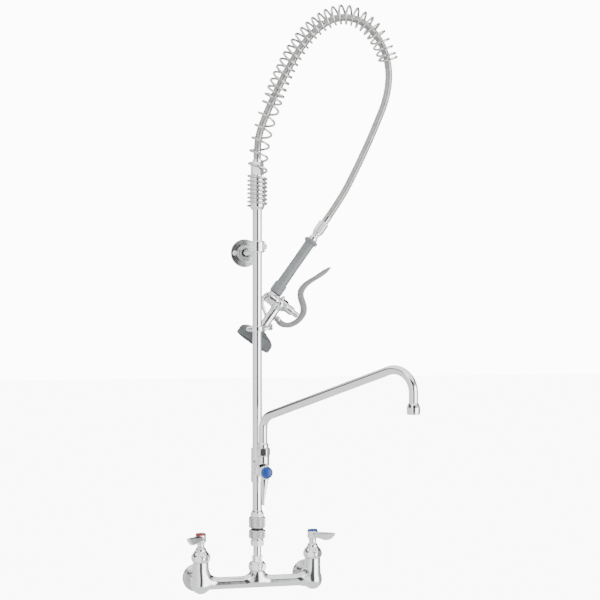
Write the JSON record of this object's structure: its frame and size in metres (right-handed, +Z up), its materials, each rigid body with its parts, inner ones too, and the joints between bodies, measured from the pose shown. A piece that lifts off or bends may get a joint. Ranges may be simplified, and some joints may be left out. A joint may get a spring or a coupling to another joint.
{
  "type": "pre-rinse faucet",
  "caption": "Wall-mounted pre-rinse faucet with riser, overhead spring, hose, squeeze spray valve, swing nozzle and wall bracket.",
  "frame": {"origin": "on the wall plane, midway between the two supply inlets, at the height of their centres", "axes": "+Z up along the riser, +Y into the wall, +X to the right of someone facing the wall"},
  "size_m": [0.4054, 0.4229, 1.069],
  "materials": {
    "polished_chrome": "polished chrome plate",
    "stainless_steel": "bright stainless steel",
    "brass": "machined brass",
    "ceramic": "lapped white ceramic",
    "black_rubber": "moulded rubber",
    "grey_grip": "insulating grey grip, satin",
    "grey_lever": "grey coated lever, satin",
    "grey_rubber": "dark grey rubber bumper",
    "red_index": "red index button",
    "blue_index": "blue index button"
  },
  "bodies": {
    "root": {"base_body": "polished_chrome", "inlet_flanges": "polished_chrome", "inlet_coupling_nuts": "polished_chrome", "bonnet_nuts": "polished_chrome", "cartridge_sleeves": "brass", "fixed_ceramic_discs": "ceramic", "washers": "black_rubber", "base_lock_nut": "polished_chrome", "union_tailpiece": "polished_chrome", "lower_union_nut": "polished_chrome", "upper_union_nut": "polished_chrome", "union_seal": "black_rubber", "riser_adapter": "polished_chrome", "lower_nipple": "polished_chrome", "riser": "polished_chrome", "addon_body": "polished_chrome", "addon_bonnet": "polished_chrome", "nozzle_swivel_nut": "polished_chrome", "hose_riser_nut": "polished_chrome", "hose": "stainless_steel", "overhead_spring": "stainless_steel", "spring_ferrule": "polished_chrome", "finger_hook": "polished_chrome", "hook_set_screw": "polished_chrome"},
    "hot_control": {"hot_stem": "brass", "hot_lever": "polished_chrome", "hot_lever_screw": "polished_chrome", "hot_index": "red_index"},
    "cold_control": {"cold_stem": "brass", "cold_lever": "polished_chrome", "cold_lever_screw": "polished_chrome", "cold_index": "blue_index"},
    "addon_control": {"addon_stem": "brass", "addon_lever": "polished_chrome", "addon_lever_screw": "polished_chrome", "addon_index": "blue_index"},
    "nozzle": {"swing_nozzle": "polished_chrome", "nozzle_o_rings": "black_rubber", "nozzle_outlet": "polished_chrome"},
    "wall_bracket": {"bracket_clamp_front": "polished_chrome", "bracket_clamp_back": "polished_chrome", "bracket_clamp_screws": "polished_chrome", "bracket_rod": "polished_chrome", "bracket_flange": "polished_chrome", "bracket_wall_screws": "polished_chrome"},
    "spray_valve": {"hose_end_nut": "polished_chrome", "handle_collar": "polished_chrome", "handle_tube": "stainless_steel", "handle_grip": "grey_grip", "spray_valve_body": "polished_chrome", "lever_pin": "polished_chrome", "valve_bonnet": "polished_chrome", "valve_return_spring": "stainless_steel", "spray_bumper": "grey_rubber", "spray_shell": "polished_chrome", "spray_face": "stainless_steel", "spray_face_screw": "polished_chrome"},
    "plunger": {"valve_plunger": "polished_chrome", "valve_seat_washer": "black_rubber"},
    "squeeze_lever": {"spray_lever": "grey_lever"}
  },
  "joints": [
    {"name": "hot_turn", "type": "hinge", "parent": "root", "child": "hot_control", "pos_m": [-0.1016, -0.058, 0.0795], "axis": [0, 0, 1], "range_deg": [0, 90]},
    {"name": "cold_turn", "type": "hinge", "parent": "root", "child": "cold_control", "pos_m": [0.1016, -0.058, 0.0795], "axis": [0, 0, -1], "range_deg": [0, 90]},
    {"name": "addon_turn", "type": "hinge", "parent": "root", "child": "addon_control", "pos_m": [0, -0.13, 0.2053], "axis": [0, -1, 0], "range_deg": [0, 90]},
    {"name": "nozzle_swing", "type": "hinge", "parent": "root", "child": "nozzle", "pos_m": [0, -0.113, 0.24], "axis": [0, 0, 1], "range_deg": [-150, 66]},
    {"name": "bracket_slide", "type": "slide", "parent": "root", "child": "wall_bracket", "axis": [0, 0, 1], "range_m": [-0.02, 0.04]},
    {"name": "handset_swing", "type": "hinge", "parent": "root", "child": "spray_valve", "pos_m": [0.1345, -0.012, 0.646], "axis": [0.8141, 0, -0.5807], "range_deg": [0, 12], "deforming": ["hose"]},
    {"name": "lever_squeeze", "type": "hinge", "parent": "spray_valve", "child": "squeeze_lever", "pos_m": [0.04673, -0.012, 0.46785], "axis": [0, -1, 0], "range_deg": [0, 13], "stiffness_Nm_per_rad": 3, "springref_deg": -17.19},
    {"name": "plunger_slide", "type": "slide", "parent": "spray_valve", "child": "plunger", "axis": [-0.8141, 0, 0.5807], "range_m": [0, 0.0063], "deforming": ["valve_return_spring"]}
  ],
  "couplings": [
    {"joint": "plunger_slide", "follows": "lever_squeeze", "m_per_rad": 0.027}
  ]
}
